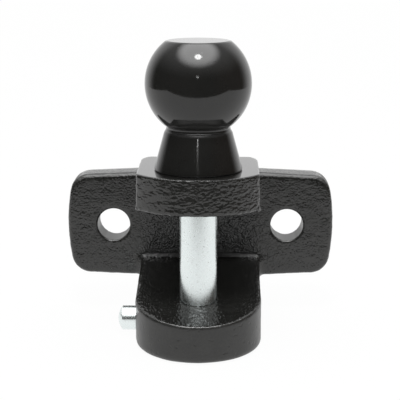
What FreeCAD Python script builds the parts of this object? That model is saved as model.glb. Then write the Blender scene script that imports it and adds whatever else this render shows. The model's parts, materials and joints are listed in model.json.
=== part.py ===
"""Ball and pin towing jaw for a trailer, as a parametric FreeCAD document in millimetres.

The frame is that of the flange: X runs across, Y points out of the mounting face towards the vehicle,
Z is up, and the origin is midway between the two bolt holes on the mounting face.
"""
import FreeCAD, Part
import math
import os

import Sketcher

Vector = FreeCAD.Vector

SIZES = [
    # Flange and its two bolt holes
    ("bolt_spacing", 90),
    ("bolt_hole", 17),
    ("flange_width", 138),
    ("flange_middle_height", 58),
    ("flange_end_height", 52),
    ("flange_end_bow", 100),
    ("flange_corner", 10),
    ("flange_thickness", 15),
    ("flange_edge", 2.5),
    # Upper jaw, with the machined pad that carries the ball
    ("pin_reach", 62),
    ("pad_height", 39),
    ("pad_back", 31.5),
    ("upper_width", 58),
    ("upper_front", 27),
    ("upper_corner_front", 12.7),
    ("upper_thickness", 17),
    ("upper_corner_edge", 3),
    ("upper_lower_edge", 1.2),
    ("shoulder_lap", 1),
    ("throat_radius", 14),
    # Lower jaw, whose floor falls towards its lip
    ("lower_width", 61),
    ("floor_back", 17),
    ("floor_lip", 29.2),
    ("floor_fillet", 3),
    ("lip_edge", 1.2),
    ("underside_depth", 47.5),
    ("underside_edge", 3),
    ("heel_setback", 22),
    ("heel_top", 4),
    ("heel_lap", 2),
    # Fits, and how far a cut runs past what it cuts
    ("fit_clearance", 0.05),
    ("groove_clearance", 0.3),
    ("cut_margin", 1),
    # Ball
    ("ball_diameter", 50),
    ("ball_flat", 30),
    ("ball_flat_edge", 0.8),
    ("ball_height", 40.5),
    ("neck_top", 31.6),
    ("neck_drop", 21.6),
    ("neck_base", 42),
    ("neck_edge", 1.5),
    ("shoulder_round", 1),
    ("socket_depth", 30),
    # Pin
    ("pin_diameter", 18),
    ("pin_recess", 1),
    ("pin_chamfer", 1.2),
    # Plunger, its spring and the pin that keeps it in
    ("plunger_diameter", 12),
    ("plunger_rise", 8.5),
    ("plunger_offset", 12),
    ("plunger_stick_out", 9.6),
    ("plunger_dome", 2.3),
    ("plunger_inside", 40),
    ("plunger_travel", 7.5),
    ("bore_depth", 54),
    ("pocket_depth", 5),
    ("spring_diameter", 9),
    ("spring_wire", 1.2),
    ("spring_turns", 6),
    ("spring_room", 0.3),
    ("keeper_diameter", 4),
    ("keeper_wall", 0.8),
    ("keeper_slit", 0.9),
    ("keeper_length", 15.5),
    ("keeper_recess", 0.5),
    ("keeper_place", 16),
    ("keeper_bite", 2),
]


class Size:
    """A length that knows its value now and the sheet expression that keeps it."""

    def __init__(self, value, text):
        self.value = value
        self.text = text

    @staticmethod
    def of(thing):
        if isinstance(thing, Size):
            return thing
        return Size(float(thing), "(%r)" % thing)

    def join(self, sign, other, value):
        return Size(value, "(%s %s %s)" % (self.text, sign, other.text))

    def __add__(self, other):
        other = Size.of(other)
        return self.join("+", other, self.value + other.value)

    def __sub__(self, other):
        other = Size.of(other)
        return self.join("-", other, self.value - other.value)

    def __mul__(self, other):
        other = Size.of(other)
        return self.join("*", other, self.value * other.value)

    def __truediv__(self, other):
        other = Size.of(other)
        return self.join("/", other, self.value / other.value)

    def __radd__(self, other):
        return Size.of(other) + self

    def __rsub__(self, other):
        return Size.of(other) - self

    def __rmul__(self, other):
        return Size.of(other) * self

    def __neg__(self):
        return Size(-self.value, "(-%s)" % self.text)


def square_root(size):
    return Size(math.sqrt(size.value), "sqrt(%s)" % size.text)


def arc_radius(half_chord, rise):
    """Radius of the arc that rises this far over this half chord."""
    return (half_chord * half_chord + rise * rise) / (2 * rise)


doc = FreeCAD.newDocument("towing_jaw")
sheet = doc.addObject("Spreadsheet::Sheet", "Sizes")
size = {}
for row, (alias, number) in enumerate(SIZES, start=1):
    cell = "B%d" % row
    sheet.set("A%d" % row, alias)
    sheet.set(cell, str(number))
    sheet.setAlias(cell, alias)
    size[alias] = Size(float(number), "Sizes.%s" % alias)
doc.recompute()


def bind(thing, prop, value):
    """Set a property through the sheet."""
    thing.setExpression(prop, Size.of(value).text)


def new_body(label, x=0, y=0, z=0):
    """A body with its own origin at this place in the flange's frame."""
    body = doc.addObject("PartDesign::Body", label)
    body.Label = label
    for axis, value in (("x", x), ("y", y), ("z", z)):
        bind(body, "Placement.Base.%s" % axis, value)
    return body


def origin_feature(body, role):
    return [item for item in body.Origin.OriginFeatures if item.Role == role][0]


def new_sketch(body, name, plane, lift=0):
    """A sketch on one of the body's origin planes, lifted along the plane's normal."""
    sketch = body.newObject("Sketcher::SketchObject", name)
    sketch.AttachmentSupport = [(origin_feature(body, plane), "")]
    sketch.MapMode = "FlatFace"
    bind(sketch, "AttachmentOffset.Base.z", lift)
    doc.recompute()
    return sketch


def fix(sketch, kind, geometry, point, value):
    """Tie one coordinate of a point, or a radius, to the sheet."""
    value = Size.of(value)
    if kind == "Radius":
        number = sketch.addConstraint(Sketcher.Constraint("Radius", geometry, value.value))
    elif value.value == 0:
        axis = -2 if kind == "DistanceX" else -1
        sketch.addConstraint(Sketcher.Constraint("PointOnObject", geometry, point, axis))
        return
    else:
        number = sketch.addConstraint(Sketcher.Constraint(kind, -1, 1, geometry, point, value.value))
    name = "size_%d" % number
    sketch.renameConstraint(number, name)
    sketch.setExpression("Constraints.%s" % name, value.text)


class Corner:
    """A corner of an outline."""

    def __init__(self, x, y):
        self.x = Size.of(x)
        self.y = Size.of(y)

    def ends(self):
        point = Vector(self.x.value, self.y.value, 0)
        return point, point


class Bow:
    """An arc of an outline: its centre, its radius and one coordinate of each end.

    The angles only say which way each end lies from the centre, and turn is 1 for an arc drawn
    anticlockwise and -1 for one drawn clockwise.
    """

    def __init__(self, x, y, radius, start, end, angles, turn):
        self.x = Size.of(x)
        self.y = Size.of(y)
        self.radius = Size.of(radius)
        self.limits = (start, end)
        self.turn = turn
        self.angles = [self.settle(limit, math.radians(angle)) for limit, angle in zip(self.limits, angles)]

    def settle(self, limit, guess):
        """The angle near the guess at which the arc meets its given coordinate."""
        axis, value = limit
        centre = self.x if axis == "x" else self.y
        share = max(-1.0, min(1.0, (Size.of(value).value - centre.value) / self.radius.value))
        base = math.acos(share) if axis == "x" else math.asin(share)
        other = -base if axis == "x" else math.pi - base
        choices = [angle + 2 * math.pi * turns for angle in (base, other) for turns in (-1, 0, 1)]
        return min(choices, key=lambda angle: abs(angle - guess))

    def ends(self):
        return [Vector(self.x.value + self.radius.value * math.cos(angle),
                       self.y.value + self.radius.value * math.sin(angle), 0) for angle in self.angles]


def draw_outline(sketch, steps):
    """Close a chain of corners and arcs with straight edges, each tied to the sheet."""
    arcs = {}
    for index, step in enumerate(steps):
        if isinstance(step, Bow):
            low, high = step.angles if step.turn > 0 else step.angles[::-1]
            circle = Part.Circle(Vector(step.x.value, step.y.value, 0), Vector(0, 0, 1), step.radius.value)
            arc = sketch.addGeometry(Part.ArcOfCircle(circle, low, high))
            arcs[index] = arc
            points = (1, 2) if step.turn > 0 else (2, 1)
            fix(sketch, "DistanceX", arc, 3, step.x)
            fix(sketch, "DistanceY", arc, 3, step.y)
            fix(sketch, "Radius", arc, 0, step.radius)
            for point, (axis, value) in zip(points, step.limits):
                fix(sketch, "DistanceX" if axis == "x" else "DistanceY", arc, point, value)
    lines = []
    for index, step in enumerate(steps):
        following = steps[(index + 1) % len(steps)]
        lines.append(sketch.addGeometry(Part.LineSegment(step.ends()[1], following.ends()[0])))
    for index, step in enumerate(steps):
        arriving = lines[index - 1]
        leaving = lines[index]
        if isinstance(step, Bow):
            first, last = (1, 2) if step.turn > 0 else (2, 1)
            sketch.addConstraint(Sketcher.Constraint("Coincident", arriving, 2, arcs[index], first))
            sketch.addConstraint(Sketcher.Constraint("Coincident", arcs[index], last, leaving, 1))
        else:
            sketch.addConstraint(Sketcher.Constraint("Coincident", arriving, 2, leaving, 1))
            fix(sketch, "DistanceX", leaving, 1, step.x)
            fix(sketch, "DistanceY", leaving, 1, step.y)
    doc.recompute()


def draw_circle(sketch, x, y, radius):
    x = Size.of(x)
    y = Size.of(y)
    radius = Size.of(radius)
    circle = sketch.addGeometry(Part.Circle(Vector(x.value, y.value, 0), Vector(0, 0, 1), radius.value))
    fix(sketch, "Radius", circle, 0, radius)
    fix(sketch, "DistanceX", circle, 3, x)
    fix(sketch, "DistanceY", circle, 3, y)
    doc.recompute()


def pad(body, name, sketch, length, symmetric=False):
    feature = body.newObject("PartDesign::Pad", name)
    feature.Profile = sketch
    feature.SideType = "Symmetric" if symmetric else "One side"
    bind(feature, "Length", length)
    doc.recompute()
    return feature


def pocket(body, name, sketch, length=None, towards_normal=False):
    """Cut along the sketch's normal or against it, or right through both ways."""
    before = body.Shape.Volume
    feature = body.newObject("PartDesign::Pocket", name)
    feature.Profile = sketch
    if length is None:
        feature.Type = "ThroughAll"
        feature.SideType = "Symmetric"
    else:
        bind(feature, "Length", length)
        feature.Reversed = towards_normal
    doc.recompute()
    if not body.Shape.Volume < before - 1e-6:
        raise RuntimeError("%s cut nothing" % name)
    return feature


def revolve(body, name, sketch, axis):
    feature = body.newObject("PartDesign::Revolution", name)
    feature.Profile = sketch
    feature.ReferenceAxis = (origin_feature(body, axis), [""])
    feature.Angle = 360
    doc.recompute()
    return feature


def round_edges(body, name, radius, wanted):
    """Fillet every edge of the body so far for which wanted(edge) is true."""
    base = body.Tip
    names = ["Edge%d" % (index + 1) for index, edge in enumerate(base.Shape.Edges) if wanted(edge)]
    if not names:
        raise RuntimeError("%s found no edge" % name)
    feature = body.newObject("PartDesign::Fillet", name)
    feature.Base = (base, names)
    bind(feature, "Radius", radius)
    doc.recompute()
    if not feature.isValid():
        raise RuntimeError("%s could not be rounded" % name)
    print("%s: %d edges" % (name, len(names)))
    return feature


def near(value, target):
    return abs(value - target) < 0.01


def middle(edge):
    return edge.valueAt((edge.FirstParameter + edge.LastParameter) / 2)


def level(edge, height):
    """True for an edge that lies in the horizontal plane at this height."""
    return near(edge.BoundBox.ZMin, height) and near(edge.BoundBox.ZMax, height)


def runs_along(edge, axis):
    """True for a straight edge along this axis."""
    if not isinstance(edge.Curve, Part.Line):
        return False
    direction = edge.Curve.Direction
    return abs(getattr(direction, axis)) > 0.999


# The lines that several pieces share
flange_front = -size["flange_thickness"]
middle_half = size["flange_middle_height"] / 2
end_half = size["flange_end_height"] / 2
bow = size["flange_end_bow"]
bow_centre = size["flange_width"] / 2 - bow
bow_start = bow_centre + square_root(bow * bow - end_half * end_half)
pin_line = -size["pin_reach"]
pad_top = size["pad_height"]
upper_underside = pad_top - size["upper_thickness"]
upper_half = size["upper_width"] / 2
lower_half = size["lower_width"] / 2
shoulder_foot = middle_half - (middle_half - end_half) * upper_half / bow_start
underside = -size["underside_depth"]
pin_radius = size["pin_diameter"] / 2
pin_bore = pin_radius + size["fit_clearance"]
plunger_radius = size["plunger_diameter"] / 2
plunger_bore = plunger_radius + size["fit_clearance"]
plunger_line = pin_line + size["plunger_offset"]
plunger_height = underside + size["plunger_rise"]
keeper_radius = size["keeper_diameter"] / 2
keeper_x = -lower_half + size["keeper_place"]
keeper_reach = plunger_radius + keeper_radius - size["keeper_bite"]
keeper_y = plunger_line + keeper_reach


def make_flange(body):
    """The two-hole plate, tallest in the middle, with bowed ends and round corners."""
    sketch = new_sketch(body, "flange_outline", "XZ_Plane")
    draw_outline(sketch, [
        Corner(0, middle_half),
        Bow(-bow_centre, 0, bow, ("y", end_half), ("y", -end_half), (165, 195), 1),
        Corner(0, -middle_half),
        Bow(bow_centre, 0, bow, ("y", -end_half), ("y", end_half), (-15, 15), 1),
    ])
    pad(body, "flange", sketch, size["flange_thickness"])
    round_edges(body, "flange_corners", size["flange_corner"],
                lambda edge: runs_along(edge, "y") and abs(middle(edge).x) > bow_margin())
    round_edges(body, "flange_front_edge", size["flange_edge"],
                lambda edge: near(edge.BoundBox.YMax, flange_front.value))


def bow_margin():
    """Half way out to the ends: the corners lie beyond it and the middle of the plate within."""
    return size["flange_width"].value / 4


def make_upper_jaw(body):
    """The arm over the pin: a level pad, a shoulder down to the flange and a round throat."""
    sketch = new_sketch(body, "upper_profile", "YZ_Plane")
    front = pin_line - size["upper_front"]
    throat = size["throat_radius"]
    inside_flange = flange_front / 2
    draw_outline(sketch, [
        Corner(front, pad_top),
        Corner(front, upper_underside),
        Bow(flange_front - throat, upper_underside - throat, throat,
            ("x", flange_front - throat), ("y", upper_underside - throat), (90, 0), -1),
        Corner(inside_flange, upper_underside - throat),
        Corner(inside_flange, shoulder_foot - size["shoulder_lap"]),
        Corner(flange_front, shoulder_foot + size["shoulder_lap"]),
        Corner(pin_line + size["pad_back"], pad_top),
    ])
    pad(body, "upper_jaw", sketch, size["upper_width"], symmetric=True)
    rise = size["upper_front"] - size["upper_corner_front"]
    radius = arc_radius(upper_half, rise)
    cut_nose(body, "upper_nose", upper_half, front + radius, radius, pad_top, size["upper_thickness"],
             pin_line - size["upper_corner_front"])


def make_lower_jaw(body):
    """The arm under the pin: a flat underside, a round nose and a floor that falls to the lip."""
    sketch = new_sketch(body, "lower_profile", "YZ_Plane")
    lip = pin_line - lower_half
    inside_flange = flange_front / 2
    draw_outline(sketch, [
        Corner(lip, -size["floor_lip"]),
        Corner(lip, underside),
        Corner(-size["heel_setback"], underside),
        Corner(-size["heel_top"], -middle_half + size["heel_lap"]),
        Corner(inside_flange, -size["floor_back"]),
        Corner(flange_front, -size["floor_back"]),
    ])
    pad(body, "lower_jaw", sketch, size["lower_width"], symmetric=True)
    cut_nose(body, "lower_nose", lower_half, pin_line, lower_half, -size["floor_back"],
             size["underside_depth"] - size["floor_back"], pin_line)


def cut_nose(body, name, half_width, centre, radius, top, depth, corner):
    """Cut a square-ended jaw back to an arc that ends on its two sides at the corner line."""
    sketch = new_sketch(body, "%s_outline" % name, "XY_Plane", top)
    outside = half_width + size["cut_margin"]
    ahead = centre - radius - size["cut_margin"]
    arc = Bow(0, centre, radius, ("y", corner), ("y", corner), (-5, -175), -1)
    draw_outline(sketch, [
        Corner(-outside, corner),
        Corner(-outside, ahead),
        Corner(outside, ahead),
        Corner(outside, corner),
        arc,
    ])
    pocket(body, name, sketch, depth)


def drill_casting(body):
    """Bolt holes, the pin's bore through both jaws, the plunger's blind bore and the keeper's hole."""
    bolts = new_sketch(body, "bolt_holes_outline", "XZ_Plane")
    for side in (-1, 1):
        draw_circle(bolts, side * size["bolt_spacing"] / 2, 0, size["bolt_hole"] / 2)
    pocket(body, "bolt_holes", bolts)
    bore = new_sketch(body, "pin_bore_outline", "XY_Plane")
    draw_circle(bore, 0, pin_line, pin_bore)
    pocket(body, "pin_bore", bore)
    side_bore = new_sketch(body, "plunger_bore_outline", "YZ_Plane", -lower_half)
    draw_circle(side_bore, plunger_line, plunger_height, plunger_bore)
    pocket(body, "plunger_bore", side_bore, size["bore_depth"], towards_normal=True)
    keeper = new_sketch(body, "keeper_hole_outline", "XY_Plane", underside)
    draw_circle(keeper, keeper_x, keeper_y, keeper_radius + size["fit_clearance"])
    depth = size["keeper_recess"] + size["keeper_length"] + size["fit_clearance"]
    pocket(body, "keeper_hole", keeper, depth, towards_normal=True)


def make_floor_root(body):
    """The round inner corner where the sloping floor meets the flange, clear of the rounded lip."""
    radius = size["floor_fillet"]
    fall = size["floor_lip"] - size["floor_back"]
    run = size["pin_reach"] + lower_half - size["flange_thickness"]
    slant = square_root(fall * fall + run * run)
    centre_y = flange_front - radius
    centre_z = -size["floor_back"] - fall * radius / run + radius * slant / run
    foot_y = centre_y + radius * fall / slant
    inside_flange = flange_front / 2
    inside_floor = -size["floor_back"] - radius
    sketch = new_sketch(body, "floor_root_profile", "YZ_Plane")
    draw_outline(sketch, [
        Bow(centre_y, centre_z, radius, ("x", foot_y), ("y", centre_z), (-80, 0), 1),
        Corner(inside_flange, centre_z),
        Corner(inside_flange, inside_floor),
        Corner(foot_y, inside_floor),
    ])
    clear_of_lip = 2 * size["lip_edge"]
    pad(body, "floor_root", sketch, 2 * (lower_half - clear_of_lip), symmetric=True)


def floor_height(y):
    """Height of the lower jaw's floor at this distance from the mounting face."""
    fall = size["floor_lip"].value - size["floor_back"].value
    run = flange_front.value - (pin_line - lower_half).value
    return -size["floor_back"].value - fall * (flange_front.value - y) / run


def on_lip(edge):
    """True for the edges round the lower jaw's floor, apart from the one at its root."""
    ends = [vertex.Point for vertex in edge.Vertexes]
    in_floor = all(near(point.z, floor_height(point.y)) for point in ends + [middle(edge)])
    return in_floor and not runs_along(edge, "x")


def make_jaw_casting():
    body = new_body("jaw_casting")
    make_flange(body)
    make_upper_jaw(body)
    make_lower_jaw(body)
    round_edges(body, "upper_corners", size["upper_corner_edge"],
                lambda edge: runs_along(edge, "z") and middle(edge).y < pin_line.value
                and near(abs(middle(edge).x), upper_half.value) and middle(edge).z > 0)
    round_edges(body, "shoulder_edges", (pad_top - shoulder_foot) / 2,
                lambda edge: isinstance(edge.Curve, Part.Line) and near(abs(middle(edge).x), upper_half.value)
                and near(edge.BoundBox.ZMax, pad_top.value) and middle(edge).y > pin_line.value
                and edge.BoundBox.ZLength > 1)
    round_edges(body, "lip_edges", size["lip_edge"], on_lip)
    make_floor_root(body)
    round_edges(body, "underside_edges", size["underside_edge"],
                lambda edge: level(edge, underside.value) and not runs_along(edge, "x"))
    round_edges(body, "upper_lower_edges", size["upper_lower_edge"],
                lambda edge: level(edge, upper_underside.value) and not runs_along(edge, "x"))
    drill_casting(body)
    return body


def make_tow_ball():
    """A 50 mm ball with a flat on top and a tapered neck, bored from below for the pin."""
    body = new_body("tow_ball", 0, pin_line, pad_top + size["fit_clearance"])
    sketch = new_sketch(body, "ball_profile", "XZ_Plane")
    ball_radius = size["ball_diameter"] / 2
    flat = size["ball_flat"] / 2
    centre = size["ball_height"]
    rise = square_root(ball_radius * ball_radius - flat * flat)
    draw_outline(sketch, [
        Corner(pin_bore, 0),
        Corner(size["neck_base"] / 2, 0),
        Corner(size["neck_top"] / 2, centre - size["neck_drop"]),
        Bow(0, centre, ball_radius, ("x", flat), ("x", flat), (-50, 50), 1),
        Corner(0, centre + rise),
        Corner(0, size["socket_depth"]),
        Corner(pin_bore, size["socket_depth"]),
    ])
    revolve(body, "ball", sketch, "Z_Axis")
    round_edges(body, "neck_bottom", size["neck_edge"],
                lambda edge: level(edge, 0) and edge.BoundBox.XMax > size["neck_base"].value / 4
                and near(edge.BoundBox.XMax, size["neck_base"].value / 2))
    round_edges(body, "neck_shoulder", size["shoulder_round"],
                lambda edge: level(edge, (centre - size["neck_drop"]).value)
                and near(edge.BoundBox.XMax, size["neck_top"].value / 2))
    round_edges(body, "flat_rim", size["ball_flat_edge"],
                lambda edge: level(edge, (centre + rise).value))
    return body


def make_tow_pin():
    """The plated pin: pressed into the ball, through both jaws, with the plunger's groove near its end."""
    body = new_body("tow_pin", 0, pin_line, 0)
    sketch = new_sketch(body, "pin_profile", "XZ_Plane")
    chamfer = size["pin_chamfer"]
    top = pad_top + size["socket_depth"]
    bottom = underside + size["pin_recess"]
    groove = plunger_radius + size["groove_clearance"]
    draw_outline(sketch, [
        Corner(0, top),
        Corner(0, bottom),
        Corner(pin_radius - chamfer, bottom),
        Corner(pin_radius, bottom + chamfer),
        Bow(size["plunger_offset"], plunger_height, groove,
            ("x", pin_radius), ("x", pin_radius), (240, 120), -1),
        Corner(pin_radius, top - chamfer),
        Corner(pin_radius - chamfer, top),
    ])
    revolve(body, "pin", sketch, "Z_Axis")
    return body


def make_locking_plunger():
    """The plated plunger: domed end, a scallop that frees the pin, a flat for the keeper, a spring pocket."""
    body = new_body("locking_plunger", -lower_half, plunger_line, plunger_height)
    sketch = new_sketch(body, "plunger_profile", "XZ_Plane")
    tip = -size["plunger_stick_out"]
    dome = arc_radius(plunger_radius, size["plunger_dome"])
    inner = size["plunger_inside"]
    pocket_radius = size["spring_diameter"] / 2 + size["spring_room"]
    draw_outline(sketch, [
        Corner(inner - size["pocket_depth"], 0),
        Corner(inner - size["pocket_depth"], pocket_radius),
        Corner(inner, pocket_radius),
        Corner(inner, plunger_radius),
        Bow(tip + dome, 0, dome, ("x", tip + size["plunger_dome"]), ("y", 0), (140, 180), 1),
    ])
    revolve(body, "plunger", sketch, "X_Axis")
    scallop = new_sketch(body, "scallop_outline", "XY_Plane")
    draw_circle(scallop, lower_half - size["plunger_travel"], -size["plunger_offset"],
                pin_radius + size["groove_clearance"])
    pocket(body, "scallop", scallop)
    keeper_flat = new_sketch(body, "keeper_flat_outline", "XY_Plane")
    room = keeper_radius + size["groove_clearance"]
    flat_floor = keeper_reach - room
    draw_outline(keeper_flat, [
        Corner(size["keeper_place"] - room - size["plunger_travel"], flat_floor),
        Corner(size["keeper_place"] + room, flat_floor),
        Corner(size["keeper_place"] + room, plunger_radius + size["cut_margin"]),
        Corner(size["keeper_place"] - room - size["plunger_travel"], plunger_radius + size["cut_margin"]),
    ])
    pocket(body, "keeper_flat", keeper_flat)
    return body


def make_plunger_spring():
    """A coil spring from the plunger's pocket to the end of the bore."""
    start = -lower_half + size["plunger_inside"] - size["pocket_depth"]
    body = new_body("plunger_spring", start, plunger_line, plunger_height)
    wire_radius = size["spring_wire"] / 2
    sketch = new_sketch(body, "wire_outline", "XZ_Plane")
    draw_circle(sketch, wire_radius, size["spring_diameter"] / 2 - wire_radius, wire_radius)
    helix = body.newObject("PartDesign::AdditiveHelix", "coil")
    helix.Profile = sketch
    helix.ReferenceAxis = (origin_feature(body, "X_Axis"), [""])
    helix.Mode = "height-turns-angle"
    room = size["bore_depth"] - size["plunger_inside"] + size["pocket_depth"]
    bind(helix, "Height", room - size["spring_wire"])
    bind(helix, "Turns", size["spring_turns"])
    doc.recompute()
    return body


def make_keeper():
    """The slotted spring pin, pressed up from the underside beside the plunger."""
    body = new_body("plunger_retaining_pin", keeper_x, keeper_y, underside + size["keeper_recess"])
    sketch = new_sketch(body, "keeper_outline", "XY_Plane")
    inner = keeper_radius - size["keeper_wall"]
    half_slit = size["keeper_slit"] / 2
    draw_outline(sketch, [
        Bow(0, 0, keeper_radius, ("y", half_slit), ("y", -half_slit), (10, 350), 1),
        Bow(0, 0, inner, ("y", -half_slit), ("y", half_slit), (340, 20), -1),
    ])
    pad(body, "keeper", sketch, size["keeper_length"])
    return body


def check(bodies):
    """Stop unless every object and every sub-part's shape is sound."""
    for item in doc.Objects:
        if "Invalid" in item.State or "Error" in item.State:
            raise RuntimeError("%s: %s" % (item.Name, item.State))
    for body in bodies:
        if body.Shape.isNull() or not body.Shape.isValid():
            raise RuntimeError("%s has no sound shape" % body.Label)


def write(bodies):
    os.makedirs("parts", exist_ok=True)
    for body in bodies:
        body.Shape.exportStep("parts/%s.step" % body.Label)
        print("%s: %d solid, %.0f mm3" % (body.Label, len(body.Shape.Solids), body.Shape.Volume))


pieces = [
    make_jaw_casting(),
    make_tow_ball(),
    make_tow_pin(),
    make_locking_plunger(),
    make_plunger_spring(),
    make_keeper(),
]
doc.recompute()
check(pieces)
write(pieces)
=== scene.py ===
# %% [markdown]
# # Ball and pin towing jaw
# This lesson dresses a finished CAD model. The solids, their sizes and their joints are already right,
# so nothing is moved here. What Blender adds is the skin: rough casting under thick gloss paint, a smooth
# painted ball, bright zinc plate, and the light that makes those three look different from each other.

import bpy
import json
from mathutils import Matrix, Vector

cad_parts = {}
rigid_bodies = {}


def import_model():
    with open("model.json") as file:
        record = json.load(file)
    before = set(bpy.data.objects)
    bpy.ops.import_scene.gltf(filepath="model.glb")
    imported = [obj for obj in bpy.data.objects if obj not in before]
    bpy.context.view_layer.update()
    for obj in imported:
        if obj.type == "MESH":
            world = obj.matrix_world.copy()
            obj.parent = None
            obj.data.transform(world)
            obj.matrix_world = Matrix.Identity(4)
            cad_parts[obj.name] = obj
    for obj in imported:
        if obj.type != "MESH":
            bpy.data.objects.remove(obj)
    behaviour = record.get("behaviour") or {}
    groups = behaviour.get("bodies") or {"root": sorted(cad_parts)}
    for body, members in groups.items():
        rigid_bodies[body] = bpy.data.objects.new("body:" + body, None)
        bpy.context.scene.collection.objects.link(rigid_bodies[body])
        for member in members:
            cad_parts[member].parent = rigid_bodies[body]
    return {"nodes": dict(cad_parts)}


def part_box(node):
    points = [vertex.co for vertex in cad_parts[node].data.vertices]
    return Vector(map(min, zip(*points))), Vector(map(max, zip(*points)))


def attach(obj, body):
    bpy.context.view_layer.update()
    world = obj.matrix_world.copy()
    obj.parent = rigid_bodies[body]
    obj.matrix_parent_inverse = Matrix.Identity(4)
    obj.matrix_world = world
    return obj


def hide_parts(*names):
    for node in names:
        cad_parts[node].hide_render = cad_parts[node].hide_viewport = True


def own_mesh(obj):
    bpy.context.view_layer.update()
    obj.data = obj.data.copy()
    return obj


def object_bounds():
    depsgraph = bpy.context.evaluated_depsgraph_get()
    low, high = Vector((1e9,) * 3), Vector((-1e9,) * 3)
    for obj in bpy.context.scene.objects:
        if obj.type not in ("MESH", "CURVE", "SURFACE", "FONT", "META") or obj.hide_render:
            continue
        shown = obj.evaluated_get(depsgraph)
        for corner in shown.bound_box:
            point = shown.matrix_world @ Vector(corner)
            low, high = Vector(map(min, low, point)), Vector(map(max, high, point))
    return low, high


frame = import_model()
cad_low, cad_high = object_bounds()
print("CAD box in mm:", [round(1000 * (h - l), 1) for l, h in zip(cad_low, cad_high)])

# %% Tools for the rest of the lesson
import json
import math

import bmesh
import bpy
import numpy as np
from mathutils import Vector, noise

MM = 0.001
for leftover in [thing for thing in bpy.data.objects if thing.name in ("Cube", "Light", "Camera")]:
    bpy.data.objects.remove(leftover)
scene = bpy.context.scene

# %% [markdown]
# ## The camera
# The photograph was taken from the front with a long lens, a little above the ball. A camera can be fitted
# by eye, but the known ball diameter and bolt spacing give its distance, height and tilt by calculation,
# so those numbers are written here and the picture lines up without any nudging.

# %% Place the camera
pin_low, pin_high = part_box("tow_pin")
PIN_Y = (pin_low.y + pin_high.y) / 2
lens_in_pixels = 1144.6
picture_side = 400
camera_distance = 530.6 * MM
camera_height = 146.2 * MM
camera_turn = math.radians(1.07)
camera_tilt = math.radians(12.97)
side_step = 0.79 * MM

level_aim = Vector((-math.sin(camera_turn), math.cos(camera_turn), 0))
to_the_right = Vector((math.cos(camera_turn), math.sin(camera_turn), 0))
aim = level_aim * math.cos(camera_tilt) - Vector((0, 0, math.sin(camera_tilt)))

camera_data = bpy.data.cameras.new("camera")
camera_data.sensor_width = 36
camera_data.lens = lens_in_pixels / picture_side * camera_data.sensor_width
camera_data.clip_start = 0.01
camera = bpy.data.objects.new("camera", camera_data)
camera.location = Vector((0, PIN_Y, camera_height)) - level_aim * camera_distance + to_the_right * side_step
camera.rotation_mode = "QUATERNION"
camera.rotation_quaternion = aim.to_track_quat("-Z", "Y")
scene.collection.objects.link(camera)
scene.camera = camera
scene.view_settings.view_transform = "Standard"
print("lens in mm:", round(camera_data.lens, 2), "camera at", [round(c, 3) for c in camera.location])

# %% [markdown]
# ## Shader sums in Python
# A node tree is a formula drawn as boxes. For long formulas it is easier to write the sum itself, so a
# small class wraps one socket and turns `+`, `-`, `*` and the rest into Math nodes. One more method adds
# any other node, with its settings first and its sockets after, and that is all the plumbing needed.

# %% A socket that does sums
class Wire:
    """One output socket of a node tree, which takes part in Python sums."""

    def __init__(self, tree, socket):
        self.tree = tree
        self.socket = socket

    @classmethod
    def node(cls, tree, kind, settings=None, sockets=None, output=0):
        """Add a node: first its settings, then a value or a link for each socket."""
        made = tree.nodes.new(kind)
        for name, value in (settings or {}).items():
            setattr(made, name, value)
        for name, value in (sockets or {}).items():
            if isinstance(value, Wire):
                tree.links.new(value.socket, made.inputs[name])
            else:
                made.inputs[name].default_value = value
        return cls(tree, made.outputs[output]) if made.outputs else made

    def math(self, operation, *values):
        return Wire.node(self.tree, "ShaderNodeMath", {"operation": operation}, dict(enumerate(values)))

    def __add__(self, other):
        return self.math("ADD", self, other)

    def __radd__(self, other):
        return self.math("ADD", other, self)

    def __sub__(self, other):
        return self.math("SUBTRACT", self, other)

    def __rsub__(self, other):
        return self.math("SUBTRACT", other, self)

    def __mul__(self, other):
        return self.math("MULTIPLY", self, other)

    def __rmul__(self, other):
        return self.math("MULTIPLY", other, self)

    def ramp(self, low, high):
        """0 below low, 1 above high and a smooth step between."""
        settings = {"interpolation_type": "SMOOTHSTEP"}
        return Wire.node(self.tree, "ShaderNodeMapRange", settings, {0: self, 1: low, 2: high})

    def blend(self, first, second):
        """A colour: the first where this is 0 and the second where it is 1."""
        settings = {"data_type": "RGBA"}
        return Wire.node(self.tree, "ShaderNodeMix", settings, {0: self, 6: first, 7: second}, 2)


print("sums ready")

# %% [markdown]
# ## The studio
# The real picture is a white sweep in a dark room: white floor and white wall behind, and darkness on the
# camera's side. Gloss black paint shows hardly any colour of its own, so this surrounding is what draws
# the object. The white is only what camera and mirror rays see. Plain light for the colours comes
# from an even world and soft lamps, and the floor still takes a faint shadow.

# %% Floor
def ray_kind(tree):
    """1 for rays that see the background as it is: camera, mirror and glass rays."""
    seen = [Wire.node(tree, "ShaderNodeLightPath", None, None, name)
            for name in ("Is Camera Ray", "Is Glossy Ray", "Is Transmission Ray")]
    return seen[0].math("MINIMUM", seen[0] + seen[1] + seen[2], 1.0)


UNDERSIDE = cad_low.z
SHEET_FRONT = -370 * MM
SHEET_SIDE = 0.75
SHEET_BACK = 3.0
SHADOW_SHARE = 0.07
floor_gap = 0.05 * MM
floor_corners = [(-SHEET_SIDE, SHEET_FRONT), (SHEET_SIDE, SHEET_FRONT),
                 (SHEET_SIDE, SHEET_BACK), (-SHEET_SIDE, SHEET_BACK)]
floor_mesh = bpy.data.meshes.new("white_sheet")
floor_mesh.from_pydata([(x, y, UNDERSIDE - floor_gap) for x, y in floor_corners], [], [(0, 1, 2, 3)])
floor = bpy.data.objects.new("white_sheet", floor_mesh)
scene.collection.objects.link(floor)

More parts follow.
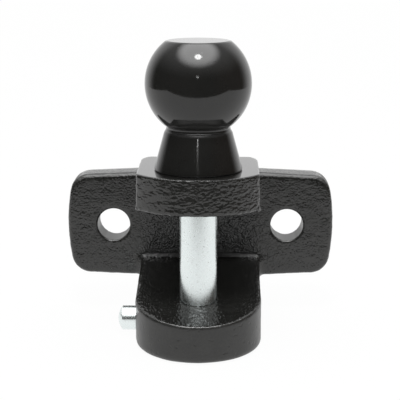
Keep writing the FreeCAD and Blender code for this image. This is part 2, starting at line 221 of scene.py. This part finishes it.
sheet_white = bpy.data.materials.new("white_sheet")
sheet_white.use_nodes = True
sheet_tree = sheet_white.node_tree
sheet_tree.nodes.clear()
matt = Wire.node(sheet_tree, "ShaderNodeBsdfDiffuse", None, {"Color": (0.94, 0.94, 0.94, 1)})
lit = Wire.node(sheet_tree, "ShaderNodeEmission", None, {"Color": (1, 1, 1, 1), "Strength": 1.02})
share = ray_kind(sheet_tree) * (1 - SHADOW_SHARE)
sheet_mix = Wire.node(sheet_tree, "ShaderNodeMixShader", None, {0: share, 1: matt, 2: lit})
Wire.node(sheet_tree, "ShaderNodeOutputMaterial", None, {"Surface": sheet_mix})
floor_mesh.materials.append(sheet_white)
print("white sheet from y =", SHEET_FRONT, "to", SHEET_BACK)

# %% [markdown]
# ### The room
# Mirror-like paint shows the room it stands in, so the room is drawn by the direction that a ray takes: a
# white wall behind, dark on the camera's side, a pale ceiling and a soft box nearly overhead. Real walls
# could be modelled instead, but a formula on the direction is smooth and quick to change.

# %% World
world = bpy.data.worlds.new("studio")
scene.world = world
world.use_nodes = True
sky = world.node_tree
sky.nodes.clear()
way = Wire.node(sky, "ShaderNodeTexCoord", None, None, "Generated")


def along(direction):
    """How far a ray points along a direction, from -1 to 1."""
    settings = {"operation": "DOT_PRODUCT"}
    return Wire.node(sky, "ShaderNodeVectorMath", settings, {0: way, 1: direction}, "Value")


wall = along((0, 1, 0)).ramp(0.25, 0.75)
ceiling = along((0, 0, 1)).ramp(0.25, 1.0) * 0.75
warm_side = along((1, 0, 0)).ramp(0.4, 0.95)
dark = warm_side.blend((0.020, 0.021, 0.019, 1), (0.050, 0.032, 0.022, 1))
white_share = wall.math("MINIMUM", wall + ceiling, 1.0)
room_picture = white_share.blend(dark, (1, 1, 1, 1))
room_light = Wire.node(sky, "ShaderNodeBackground", None, {"Color": room_picture, "Strength": 1.0})
white_light = Wire.node(sky, "ShaderNodeBackground", None, {"Color": (1, 1, 1, 1), "Strength": 1.0})
plain_light = Wire.node(sky, "ShaderNodeBackground", None, {"Color": (1, 1, 1, 1), "Strength": 0.72})
glow_height = math.radians(78)
glow = along((0, -math.cos(glow_height), math.sin(glow_height))).ramp(0.75, 0.93)
soft_box = Wire.node(sky, "ShaderNodeBackground", None, {"Color": (1, 1, 1, 1), "Strength": 5.0 * glow})
mirror_light = Wire.node(sky, "ShaderNodeAddShader", None, {0: room_light, 1: soft_box})
from_camera = Wire.node(sky, "ShaderNodeLightPath", None, None, "Is Camera Ray")
mirrored = Wire.node(sky, "ShaderNodeMixShader", None, {0: ray_kind(sky), 1: plain_light, 2: mirror_light})
seen_world = Wire.node(sky, "ShaderNodeMixShader", None, {0: from_camera, 1: mirrored, 2: white_light})
Wire.node(sky, "ShaderNodeOutputWorld", None, {"Surface": seen_world})
print("world nodes:", len(sky.nodes))

# %% [markdown]
# ### The lamps
# Two round lamps are enough. The larger one gives the ball its bright spot. The small one in front draws the
# thin line down the neck. Both are weak, because most of the light comes from the even world.

# %% Lamps
BALL_R = 25.0
FLAT_R = 15.0
ball_low, ball_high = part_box("tow_ball")
BALL_CENTRE = Vector((0, PIN_Y, ball_high.z - math.sqrt(BALL_R ** 2 - FLAT_R ** 2) * MM))


def soft_lamp(name, height_angle, side_angle, distance, width, power):
    """A round lamp that faces the ball from this height and side."""
    lamp = bpy.data.lights.new(name, "AREA")
    lamp.shape = "DISK"
    lamp.size = width
    lamp.energy = power
    holder = bpy.data.objects.new(name, lamp)
    flat = math.cos(height_angle)
    away = Vector((math.sin(side_angle) * flat, -math.cos(side_angle) * flat, math.sin(height_angle)))
    holder.location = BALL_CENTRE + away * distance
    holder.rotation_mode = "QUATERNION"
    holder.rotation_quaternion = (-away).to_track_quat("-Z", "Y")
    scene.collection.objects.link(holder)


soft_lamp("top_lamp", math.radians(64), 0.0, 0.9, 0.19, 1.8)
soft_lamp("small_front_lamp", math.radians(20), math.radians(-1), 1.0, 0.035, 0.08)

# %% [markdown]
# ## The casting's skin
# The jaw is sand cast, so its walls carry the grain of the mould, and thick gloss paint rounds that grain
# into soft waves. A bump texture alone would look flat at the edges, so the CAD surface is rebuilt as an
# even net of small squares and its points are pushed in and out. Machined places, which are the pad, the
# mounting face and the bores, stay true: a mask keeps the waves away from them.

# %% Rebuild the casting as an even net
NET_SIZE = 0.74 * MM


def even_net(node, name):
    """A copy of a CAD node's surface, rebuilt as small even squares."""
    body = bmesh.new()
    body.from_mesh(frame["nodes"][node].data)
    bmesh.ops.remove_doubles(body, verts=body.verts, dist=0.002 * MM)
    mesh = bpy.data.meshes.new(name)
    body.to_mesh(mesh)
    body.free()
    thing = bpy.data.objects.new(name, mesh)
    scene.collection.objects.link(thing)
    rebuild = thing.modifiers.new("net", "REMESH")
    rebuild.mode = "VOXEL"
    rebuild.voxel_size = NET_SIZE
    rebuild.use_smooth_shade = True
    view = bpy.context.evaluated_depsgraph_get()
    made = bpy.data.meshes.new_from_object(thing.evaluated_get(view))
    thing.modifiers.clear()
    thing.data = made
    made.name = name
    bpy.data.meshes.remove(mesh)
    return thing


jaw = even_net("jaw_casting", "jaw_casting_skin")
print("casting net:", len(jaw.data.vertices), "points,", len(jaw.data.polygons), "squares")

# %% [markdown]
# ### Inner corners
# Where the jaws grow out of the flange the mould has a fillet, and paint fills it a little more. A bevel
# needs clean edges, which the net doesn't have. Drawing the points near a corner towards the middle of
# their neighbours, many times over, gives the same soft hollow. A few rounds also take the steps off the
# flange's edges.

# %% Soften the inner corners where the jaws grow out of the flange
FLANGE_FRONT = -15.0
LOWER_SIDE = 30.5
UPPER_SIDE = 29.0


def read_points(mesh, what):
    found = np.empty(len(mesh.vertices) * 3, np.float32)
    mesh.vertices.foreach_get(what, found)
    return found.reshape(-1, 3).astype(float)


def write_points(mesh, places):
    mesh.vertices.foreach_set("co", places.astype(np.float32).ravel())
    mesh.update()


def step(values, low, high):
    """0 below low, 1 above high and a smooth step between."""
    share = np.clip((values - low) / (high - low), 0, 1)
    return share * share * (3 - 2 * share)


def relax(mesh, where, rounds):
    """Draw each point towards the middle of its neighbours, as far as where says, from 0 to 1."""
    ends = np.empty(len(mesh.edges) * 2, np.int32)
    mesh.edges.foreach_get("vertices", ends)
    first, second = ends.reshape(-1, 2).T
    places = read_points(mesh, "co")
    links = np.bincount(ends, minlength=len(places)).astype(float)
    for _ in range(rounds):
        middles = np.empty_like(places)
        for axis in range(3):
            sums = np.bincount(first, places[second, axis], len(places))
            sums += np.bincount(second, places[first, axis], len(places))
            middles[:, axis] = sums / links
        places += (middles - places) * (0.6 * where)[:, None]
    write_points(mesh, places)


px, py, pz = read_points(jaw.data, "co").T / MM
from_lower_root = np.hypot(np.abs(px) - LOWER_SIDE, np.clip(FLANGE_FRONT - py, 0, None))
lower_root = (1 - step(from_lower_root, 1.5, 4.5)) * step(-pz, 15.5, 19.0) * step(py, -19.0, FLANGE_FRONT)
from_upper_root = np.hypot(np.abs(px) - UPPER_SIDE, py - FLANGE_FRONT)
upper_root = (1 - step(from_upper_root, 1.5, 4.0)) * step(pz, 4.0, 10.0) * (1 - step(pz, 24.0, 28.0))
in_corner = np.maximum(lower_root, upper_root)
relax(jaw.data, in_corner, 40)
relax(jaw.data, step(py, -18.0, FLANGE_FRONT), 2)
relax(jaw.data, step(py, -1.6, -0.8), 9)
print("points softened:", int((in_corner > 0.1).sum()))

# %% [markdown]
# ### Bores
# The net's squares are too coarse for a drilled hole, and its wall comes out slightly toothed. The axis and
# the radius of every bore are known, so the points near a wall are put back on that radius.

# %% Make the bores round again
FIT = 0.05
BOLT_X = 45.0
BOLT_R = 8.5
PIN_R = (pin_high.x - pin_low.x) / 2 / MM
PIN_AXIS_Y = PIN_Y / MM
BORE_R = PIN_R + FIT
PLUNGER_BORE_END = 25.0
plunger_low, plunger_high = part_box("locking_plunger")
PLUNGER_Y = (plunger_low.y + plunger_high.y) / 2 / MM
PLUNGER_Z = (plunger_low.z + plunger_high.z) / 2 / MM
PLUNGER_BORE = (plunger_high.z - plunger_low.z) / 2 / MM + FIT
keeper_low, keeper_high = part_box("plunger_retaining_pin")
KEEPER_X = (keeper_low.x + keeper_high.x) / 2 / MM
KEEPER_Y = (keeper_low.y + keeper_high.y) / 2 / MM
KEEPER_BORE = (keeper_high.x - keeper_low.x) / 2 / MM + FIT
KEEPER_TOP = keeper_high.z / MM + 0.3
points = read_points(jaw.data, "co") / MM


def true_bore(axes, centre, radius, inside):
    """Put the points that lie near a bore's wall exactly on its radius."""
    offset = points[:, axes] - np.array(centre)
    reach = np.hypot(offset[:, 0], offset[:, 1])
    near = np.flatnonzero((np.abs(reach - radius) < 0.55) & inside)
    points[np.ix_(near, axes)] = np.array(centre) + offset[near] * (radius / reach[near])[:, None]
    return len(near)


everywhere = np.ones(len(points), bool)
in_flange = points[:, 1] > FLANGE_FRONT - 1
trued = [true_bore([0, 2], (side * BOLT_X, 0.0), BOLT_R, in_flange) for side in (-1, 1)]
trued.append(true_bore([0, 1], (0.0, PIN_AXIS_Y), BORE_R, everywhere))
trued.append(true_bore([1, 2], (PLUNGER_Y, PLUNGER_Z), PLUNGER_BORE, points[:, 0] < PLUNGER_BORE_END))
trued.append(true_bore([0, 1], (KEEPER_X, KEEPER_Y), KEEPER_BORE, points[:, 2] < KEEPER_TOP))
write_points(jaw.data, points * MM)
print("points put back on a bore:", trued)

# %% [markdown]
# ### Machined and rough places
# A mask is one number for each point, from 0 to 1. Masks are often painted by hand, but here every place
# has a simple position or direction, so they are worked out from the points and the way they face.

# %% Where the casting is machined and where it is rough
facing = read_points(jaw.data, "normal")
px, py, pz = points.T
jaw_low, jaw_high = (np.array(corner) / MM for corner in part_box("jaw_casting"))
PAD_TOP = jaw_high[2]
UPPER_UNDERSIDE = 22.0
FLOOR_ROOT_Y = -16.0
FLOOR_ROOT_Z = -18.5
on_pad = step(pz, PAD_TOP - 0.6, PAD_TOP - 0.3) * step(facing[:, 2], 0.80, 0.95)
on_back = step(py, -0.6, -0.3) * step(facing[:, 1], 0.80, 0.95)
in_bolt_hole = 1 - step(np.hypot(np.abs(px) - BOLT_X, pz), 8.7, 9.8)
in_pin_bore = 1 - step(np.hypot(px, py - PIN_AXIS_Y), 9.2, 10.2)
from_plunger = np.hypot(py - PLUNGER_Y, pz - PLUNGER_Z) - PLUNGER_BORE
in_plunger_bore = (1 - step(from_plunger, 0.6, 1.8)) * (px < PLUNGER_BORE_END)
machined = np.max([on_pad, on_back, in_bolt_hole, in_pin_bore, in_plunger_bore], axis=0)
near_back = step(py, -5.0, -0.8)
rough = (1 - machined) * (1 - 0.9 * near_back)
on_flange = step(py, -18.0, -15.5)
on_upper = step(pz, 18.0, 21.0) * (1 - on_flange)
on_floor = step(facing[:, 2], 0.5, 0.8) * step(-pz, 12.0, 15.0) * (1 - on_flange)
on_lower = (1 - on_upper) * (1 - on_flange) * (1 - on_floor)
on_edge = on_flange * step(facing[:, 2], 0.2, 0.4) * (1 - step(facing[:, 2], 0.80, 0.92))
on_edge = np.maximum(on_edge, 0.8 * in_bolt_hole)
between_jaws = step(pz, -21.0, -18.0) * (1 - step(pz, UPPER_UNDERSIDE, UPPER_UNDERSIDE + 2))
on_wall = step(py, -20.0, -16.0) * (1 - step(py, -14.0, -10.0))
# Painted shade: this mask marks the wall between the jaws, where the paint colour is made darker.
in_throat = between_jaws * on_wall * (1 - step(np.abs(px), 24.0, 33.0))
from_root = np.hypot(py - FLOOR_ROOT_Y, pz - FLOOR_ROOT_Z)
at_root = np.exp(-(from_root / 2.0) ** 2) * (1 - step(np.abs(px), 29.0, 31.0))
print("rough share of the net:", round(float(rough.mean()), 3))

# %% [markdown]
# ### Waves and draft
# Sand leaves waves a few millimetres long, deepest on the upper jaw. The upper jaw's walls also lean in by
# a third of a millimetre, so that the pattern could be drawn out of the sand. A Displace modifier could do
# the waves, but each part of the casting has its own, so the points are moved along the way they face.

# %% Push the net in and out
DRAFT = 0.35


def waves(length, seed):
    """Smooth noise over the net, about -1 to 1. The length is one wave in mm along x, y and z."""
    shift = Vector((seed * 17.3, seed * 5.1, seed * 29.7))
    steps = points / np.array(length)
    return np.array([noise.noise(Vector(p) + shift) for p in steps])


upper_waves = 0.75 * waves((4.6, 4.6, 2.6), 1) + 0.45 * waves((2.4, 2.4, 1.7), 2)
flange_waves = 0.6 * waves((1.9, 1.9, 1.6), 3) + 0.7 * waves((5.0, 5.0, 4.0), 4)
floor_waves = 0.9 * waves((1.7, 1.7, 1.7), 5) + 0.4 * waves((6.0, 6.0, 6.0), 6)
lower_waves = 0.8 * waves((6.0, 6.0, 5.0), 7) + 0.25 * waves((2.2, 2.2, 2.2), 8)
depth = (on_upper * 0.22 * upper_waves + on_flange * 0.13 * flange_waves
         + on_floor * 0.12 * floor_waves + on_lower * 0.06 * lower_waves)
depth += 0.25 * (1 - on_upper) * (1 - step(py, -14.0, -2.0)) * waves((26.0, 26.0, 22.0), 10)
height_share = np.clip((pz - UPPER_UNDERSIDE) / (PAD_TOP - UPPER_UNDERSIDE), 0, 1)
draft = DRAFT * height_share * on_upper * (1 - machined)
sideways = facing * np.array((1.0, 1.0, 0.0))
pushed = rough * depth
moved = points + facing * pushed[:, None] - sideways * draft[:, None]
print("waves from", round(float(pushed.min()), 3), "to", round(float(pushed.max()), 3), "mm")

# %% [markdown]
# ### Burrs and true faces
# Where the mould's halves met, small burrs are left under the nose. They could be modelled one by one, but
# noise in a narrow band gives as many as the real casting has. After that the pad and the mounting face go
# back to their planes, because a machine cut them flat after casting.

# %% Burrs under the upper jaw's nose, and true machined faces
NOSE_CORNER_Y = -74.0
burr_band = np.exp(-((pz - UPPER_UNDERSIDE - 0.5) / 0.8) ** 2) * step(-py, 30.0, 70.0) * on_upper
nose_corner = np.exp(-(np.hypot(np.abs(px) - UPPER_SIDE, py - NOSE_CORNER_Y) / 1.6) ** 2)
burr = rough * burr_band * (np.clip(waves((2.2, 2.2, 9.0), 9) - 0.15, 0, None) + 0.8 * nose_corner)
moved = moved + sideways * (0.9 * burr)[:, None]
moved[:, 2] -= 0.7 * burr
moved[:, 2] += on_pad * (PAD_TOP - moved[:, 2])
moved[:, 1] -= on_back * moved[:, 1]
moved = np.clip(moved, jaw_low, jaw_high)
write_points(jaw.data, moved * MM)
zones = {"rough_cast": rough, "lower_jaw": on_lower, "upper_jaw": on_upper, "jaw_floor": on_floor,
         "pad": on_pad, "thin_edge": on_edge, "throat": in_throat, "floor_root": at_root}
for name, values in zones.items():
    layer = jaw.data.attributes.new(name, "FLOAT", "POINT")
    layer.data.foreach_set("value", values.astype(np.float32))
print("burrs up to", round(float(burr.max()), 2), "mm")

# %% [markdown]
# ## Finishes
# Every finish on this part is one Principled shader fed by a few noise textures. Each could be set up by
# hand in the shader editor, but the same steps come back every time. So they are written once as small
# functions: a new material, its sockets, a noise with its wave length in mm, a stretch and a bump.

# %% A material with its shader ready
def new_finish(name):
    """A material with one shader, and its tree and shader node."""
    material = bpy.data.materials.new(name)
    material.use_nodes = True
    shader = material.node_tree.nodes["Principled BSDF"]
    return material, material.node_tree, shader


def feed(tree, shader, **sockets):
    """Link or set the shader's sockets, named with underscores."""
    for name, value in sockets.items():
        socket = shader.inputs[name.replace("_", " ")]
        if isinstance(value, Wire):
            tree.links.new(value.socket, socket)
        else:
            socket.default_value = value


def grain(tree, place, wave, detail=2.0, rough=0.5):
    """Noise from 0 to 1, with waves of this length in mm."""
    settings = {"noise_dimensions": "3D"}
    sockets = {"Vector": place, "Scale": 1.0 / (wave * MM), "Detail": detail, "Roughness": rough}
    return Wire.node(tree, "ShaderNodeTexNoise", settings, sockets)


def stretched(tree, place, shares):
    """The place with its waves drawn out: a share of 0.5 makes them twice as long along that axis."""
    return Wire.node(tree, "ShaderNodeVectorMath", {"operation": "MULTIPLY"}, {0: place, 1: shares})


def bump(tree, height):
    """A normal from a height in mm."""
    return Wire.node(tree, "ShaderNodeBump", None, {"Height": height, "Distance": MM, "Strength": 1.0})


print("material tools ready")

# %% [markdown]
# ### Paint on the casting
# Gloss paint is a dark colour under a clear shine. One shader gives both: a nearly black base with a low
# roughness. The fine grain that the net is too coarse for is a bump, and the masks that shaped the net are
# read again here, so bump and relief agree. Its noise has few octaves, because finer ones would only blur
# at this distance. Paint is thinner on the flange's edges, so those are duller. Between the jaws the base
# colour is made darker as painted shade, and at the floor's root deeper grain breaks up the shine.

# %% Black casting paint
cast_paint, tree, shader = new_finish("black_casting")
place = Wire.node(tree, "ShaderNodeTexCoord", None, None, "Object")
zone = {name: Wire.node(tree, "ShaderNodeAttribute", {"attribute_name": name}, None, "Fac")
        for name in zones}
on_plate = 1 - zone["lower_jaw"] - zone["upper_jaw"] - zone["jaw_floor"]
fine = grain(tree, place, 0.85, 0.8)
ripple = grain(tree, stretched(tree, place, (0.6, 0.6, 1.0)), 1.15, 0.8)
broad = grain(tree, place, 7.0, 2.0, 0.5)
pits = grain(tree, place, 2.3, 0.0).ramp(0.30, 0.22)
pebble = grain(tree, stretched(tree, place, (1.0, 0.4, 1.0)), 0.95, 0.0)
across = Wire.node(tree, "ShaderNodeSeparateXYZ", None, {"Vector": place}, "X")
coarser = 0.5 + across.ramp(-22 * MM, 18 * MM)
plate_relief = fine * 0.22 + ripple * 0.10
upper_relief = (ripple * 0.34 + fine * 0.08) * coarser
relief = (on_plate * plate_relief + zone["upper_jaw"] * upper_relief
          + zone["jaw_floor"] * (pebble * 0.22 + fine * 0.06) + zone["lower_jaw"] * fine * 0.04)
relief = relief + zone["floor_root"] * pebble * 0.55
tint = (fine * 0.5 + broad * 0.5).ramp(0.35, 0.7)
clean_paint = tint.blend((0.016, 0.016, 0.0148, 1), (0.024, 0.024, 0.0222, 1))
dull = (0.01 + 0.05 * broad) * zone["rough_cast"] + 0.22 * zone["lower_jaw"] + 0.3 * zone["thin_edge"]
feed(tree, shader,
     # Painted shade: the base colour is darker on the wall between the jaws, under the upper jaw.
     Base_Color=(zone["throat"] * 0.8).blend(clean_paint, (0.003, 0.003, 0.0028, 1)),
     Roughness=0.09 + dull,
     Coat_Weight=0.36 * zone["pad"] + 0.12 * zone["jaw_floor"],
     Coat_Roughness=0.06,
     Normal=bump(tree, relief * zone["rough_cast"] - 0.10 * pits * zone["lower_jaw"]),
     IOR=1.56)
jaw.data.materials.append(cast_paint)
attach(jaw, "hitch_body")
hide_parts("jaw_casting")
print("casting paint nodes:", len(tree.nodes))

# %% [markdown]
# ## Turned pieces
# The ball with its neck, and the pin, come off a lathe. A sphere and a cone pushed together would show a
# hard join, so one profile is drawn from the foot of the neck to the flat on top and spun round
# the pin's axis. Arcs are cut finely, because a mirror-like paint shows every flat.

# %% Spin a profile
def closed_piece(name, verts, faces):
    """A smooth closed mesh whose faces all look outwards."""
    mesh = bpy.data.meshes.new(name)
    mesh.from_pydata(verts, [], faces)
    body = bmesh.new()
    body.from_mesh(mesh)
    bmesh.ops.remove_doubles(body, verts=body.verts, dist=0.001 * MM)
    bmesh.ops.recalc_face_normals(body, faces=body.faces)
    body.to_mesh(mesh)
    body.free()
    mesh.shade_smooth()
    thing = bpy.data.objects.new(name, mesh)
    scene.collection.objects.link(thing)
    return thing


def arc(centre_r, centre_z, radius, start, end, count):
    """Points of an arc in the profile, with angles in degrees from the r axis."""
    angles = np.radians(np.linspace(start, end, count))
    return [(centre_r + radius * math.cos(a), centre_z + radius * math.sin(a)) for a in angles]


def spin(name, profile, turns):
    """A mesh from a profile of (radius, height) points in mm, spun round the pin's axis."""
    ring = np.linspace(0, 2 * math.pi, turns, endpoint=False)
    verts = []
    faces = []
    for radius, height in profile:
        verts += [(radius * math.cos(a) * MM, radius * math.sin(a) * MM + PIN_Y, height * MM) for a in ring]
    for row in range(len(profile) - 1):
        for column in range(turns):
            following = (column + 1) % turns
            low, high = row * turns, (row + 1) * turns
            faces.append((low + column, low + following, high + following, high + column))
    return closed_piece(name, verts, faces)


print("lathe ready")

# %% [markdown]
# ### The ball
# The real ball is 50 mm across, with a flat on top and a tapered neck that stands on the pad. A ready-made
# sphere would have its pole where the flat is. This profile starts in the blind socket for the pin, goes
# round the foot, up the cone and over the ball to the middle of the flat, so the spun piece is closed.

# %% The ball and its neck
BASE = ball_low.z / MM
CENTRE = BALL_CENTRE.z / MM
NECK_FOOT_R = 21.0
NECK_TOP_R = 15.8
NECK_RISE = 18.9
CONE_START = 1.82
CONE_END = 17.81
RIM_ROUND = 0.75
SOCKET_TOP = BASE + 30.0
flat_top = ball_high.z / MM
flat_angle = math.degrees(math.asin((flat_top - CENTRE) / BALL_R))
cone_lean = math.degrees(math.atan2(NECK_RISE, NECK_FOOT_R - NECK_TOP_R))
socket = [(0.0, SOCKET_TOP), (BORE_R - 0.3, SOCKET_TOP), (BORE_R, SOCKET_TOP - 0.3), (BORE_R, BASE + 0.3)]
foot_round = 0.7
foot_r = NECK_FOOT_R - foot_round * 1.31
foot = [(BORE_R + 0.3, BASE)] + arc(foot_r, BASE + foot_round, foot_round, -90, 90 - cone_lean, 10)
taper = (NECK_FOOT_R - NECK_TOP_R) / NECK_RISE
cone = [(NECK_FOOT_R - taper * rise, BASE + rise) for rise in np.linspace(CONE_START, CONE_END, 24)]
shoulder = arc(14.86, BASE + 17.95, 1.0, 90 - cone_lean, 62, 8)
ball_arc = arc(0, CENTRE, BALL_R, -flat_angle, flat_angle - 1.2, 150)
rim = arc(FLAT_R - RIM_ROUND, flat_top - RIM_ROUND, RIM_ROUND, 42, 90, 8)
top = [(r, flat_top) for r in np.linspace(13.6, 0.0, 12)]
ball_profile = socket + foot + cone + shoulder + ball_arc + rim + top
ball = spin("tow_ball_painted", ball_profile, 192)
print("ball:", len(ball.data.polygons), "faces, flat top at", round(flat_top, 2), "mm")

# %% [markdown]
# ### Paint on the ball
# The ball is turned smooth before it is painted, so its paint lies almost like glass. A mirror would look
# wrong, though: paint keeps a trace of orange peel, a little dust under it and a haze that comes and goes.
# The flat on top shines more than the rest, so it gets a clear coat of its own.

# %% Gloss paint on the ball
ball_paint, tree, shader = new_finish("black_ball")
place = Wire.node(tree, "ShaderNodeTexCoord", None, None, "Object")
peel = grain(tree, place, 1.6, 1.0, 0.4)
dust = grain(tree, place, 0.9, 0.0).ramp(0.74, 0.80)
haze = grain(tree, place, 9.0, 2.0, 0.5)
height_here = Wire.node(tree, "ShaderNodeSeparateXYZ", None, {"Vector": place}, "Z")
flat_here = height_here.ramp((flat_top - 0.3) * MM, (flat_top - 0.1) * MM)
feed(tree, shader,
     Base_Color=haze.blend((0.012, 0.012, 0.0112, 1), (0.018, 0.0175, 0.0165, 1)),
     Roughness=0.07 + 0.06 * haze,
     Coat_Weight=0.42 * flat_here,
     Coat_Roughness=0.06,
     Normal=bump(tree, 0.010 * peel + 0.007 * dust),
     IOR=1.5)
ball.data.materials.append(ball_paint)
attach(ball, "ball_and_pin")
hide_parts("tow_ball")
print("ball paint nodes:", len(tree.nodes))

# %% [markdown]
# ### The pin
# The pin is a plain round bar with chamfered ends and one round groove low down, where the plunger holds it.
# It goes through both jaws into the ball, so it is spun at full length, and the groove is an arc of the same
# profile.

# %% The pin
PIN_TOP = pin_high.z / MM
PIN_FOOT = pin_low.z / MM
PIN_EDGE = 1.2
GROOVE_Z = PLUNGER_Z
GROOVE_R = 6.3
GROOVE_AXIS = 12.0
half_angle = math.degrees(math.acos((GROOVE_AXIS - PIN_R) / GROOVE_R))
groove = arc(GROOVE_AXIS, GROOVE_Z, GROOVE_R, 180 + half_angle, 180 - half_angle, 28)
pin_profile = [(0.0, PIN_FOOT), (PIN_R - PIN_EDGE - 0.1, PIN_FOOT), (PIN_R - PIN_EDGE, PIN_FOOT + 0.05),
               (PIN_R - 0.05, PIN_FOOT + PIN_EDGE - 0.05), (PIN_R, PIN_FOOT + PIN_EDGE + 0.1)]
pin_profile += [(PIN_R, groove[0][1] - 0.1)] + groove + [(PIN_R, groove[-1][1] + 0.1)]
pin_profile += [(PIN_R, z) for z in np.linspace(-32.0, PIN_TOP - PIN_EDGE - 0.1, 30)]
pin_profile += [(PIN_R - PIN_EDGE, PIN_TOP - 0.05), (PIN_R - PIN_EDGE - 0.1, PIN_TOP), (0.0, PIN_TOP)]
pin = spin("tow_pin_plated", pin_profile, 160)
print("pin:", len(pin.data.polygons), "faces")

# %% [markdown]
# ## Zinc plate
# Bright zinc is a metal with a soft shine and a faint cold tint. It is a little cloudy, and the plating
# leaves tiny dark specks where dirt sat on the steel. All three are noise at different sizes: clouds in
# the roughness, specks in the colour. The pin and the plunger share the finish.

# %% Zinc on the pin and the plunger
zinc, tree, shader = new_finish("zinc_plate")
place = Wire.node(tree, "ShaderNodeTexCoord", None, None, "Object")
cloud = grain(tree, place, 3.5, 3.0, 0.6)
speck = grain(tree, place, 0.9, 1.0, 0.5).ramp(0.31, 0.25)
fine = grain(tree, place, 0.35, 2.0, 0.5)
clean_zinc = cloud.blend((0.78, 0.84, 0.84, 1), (0.86, 0.91, 0.90, 1))
feed(tree, shader,
     Base_Color=(speck * 0.7).blend(clean_zinc, (0.35, 0.34, 0.33, 1)),
     Metallic=1.0,
     Roughness=0.22 + 0.10 * cloud + 0.1 * speck,
     Normal=bump(tree, 0.004 * fine))
pin.data.materials.append(zinc)
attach(pin, "ball_and_pin")
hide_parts("tow_pin")
plunger = frame["nodes"]["locking_plunger"]
plunger.data.materials.clear()
plunger.data.materials.append(zinc)
print("plunger points:", len(plunger.data.vertices))

# %% [markdown]
# ## The spring and the retaining pin
# Both sit inside the lower jaw and only show when the part is taken apart. The spring is a wire swept along
# a helix. It has to shorten when the plunger is pressed; here it is one mesh with data of its own, wound at
# its full length.

# %% Wind the spring
spring_low, spring_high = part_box("plunger_spring")
SPRING_START = spring_low.x / MM
SPRING_END = spring_high.x / MM
WIRE_R = 0.6
COIL_R = (spring_high.y - spring_low.y) / 2 / MM - WIRE_R
TURNS = 6
steps_round = 24
wire_sides = 10
count = TURNS * steps_round
run = SPRING_END - SPRING_START - 2 * WIRE_R
verts = []
faces = []
for i in range(count + 1):
    turn = 2 * math.pi * i / steps_round
    out = Vector((0, math.cos(turn), math.sin(turn)))
    middle = Vector((SPRING_START + WIRE_R + run * i / count, PLUNGER_Y, GROOVE_Z)) + out * COIL_R
    for k in range(wire_sides):
        a = 2 * math.pi * k / wire_sides
        verts.append((middle + out * (WIRE_R * math.cos(a)) + Vector((WIRE_R * math.sin(a), 0, 0))) * MM)
for i in range(count):
    for k in range(wire_sides):
        n = (k + 1) % wire_sides
        near, far = i * wire_sides, (i + 1) * wire_sides
        faces.append((near + k, near + n, far + n, far + k))
faces.append(tuple(range(wire_sides)))
faces.append(tuple(count * wire_sides + k for k in range(wire_sides)))
spring = closed_piece("plunger_spring_wound", verts, faces)
print("spring:", len(faces), "faces")

# %% [markdown]
# ### Spring steel
# Springs and spring pins are left bare and oiled, so they are darker than the zinc and shine unevenly. Fine
# scratches would be lost at this size, so one noise drives both the colour and the roughness.

# %% Oiled spring steel
steel, tree, shader = new_finish("spring_steel")
place = Wire.node(tree, "ShaderNodeTexCoord", None, None, "Object")
oil = grain(tree, place, 1.5, 2.0, 0.5)
feed(tree, shader,
     Base_Color=oil.blend((0.30, 0.31, 0.33, 1), (0.42, 0.42, 0.43, 1)),
     Metallic=1.0,
     Roughness=0.22 + 0.2 * oil)
spring.data.materials.append(steel)
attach(spring, "hitch_body")
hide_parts("plunger_spring")
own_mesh(spring)
keeper = frame["nodes"]["plunger_retaining_pin"]
keeper.data.materials.clear()
keeper.data.materials.append(steel)
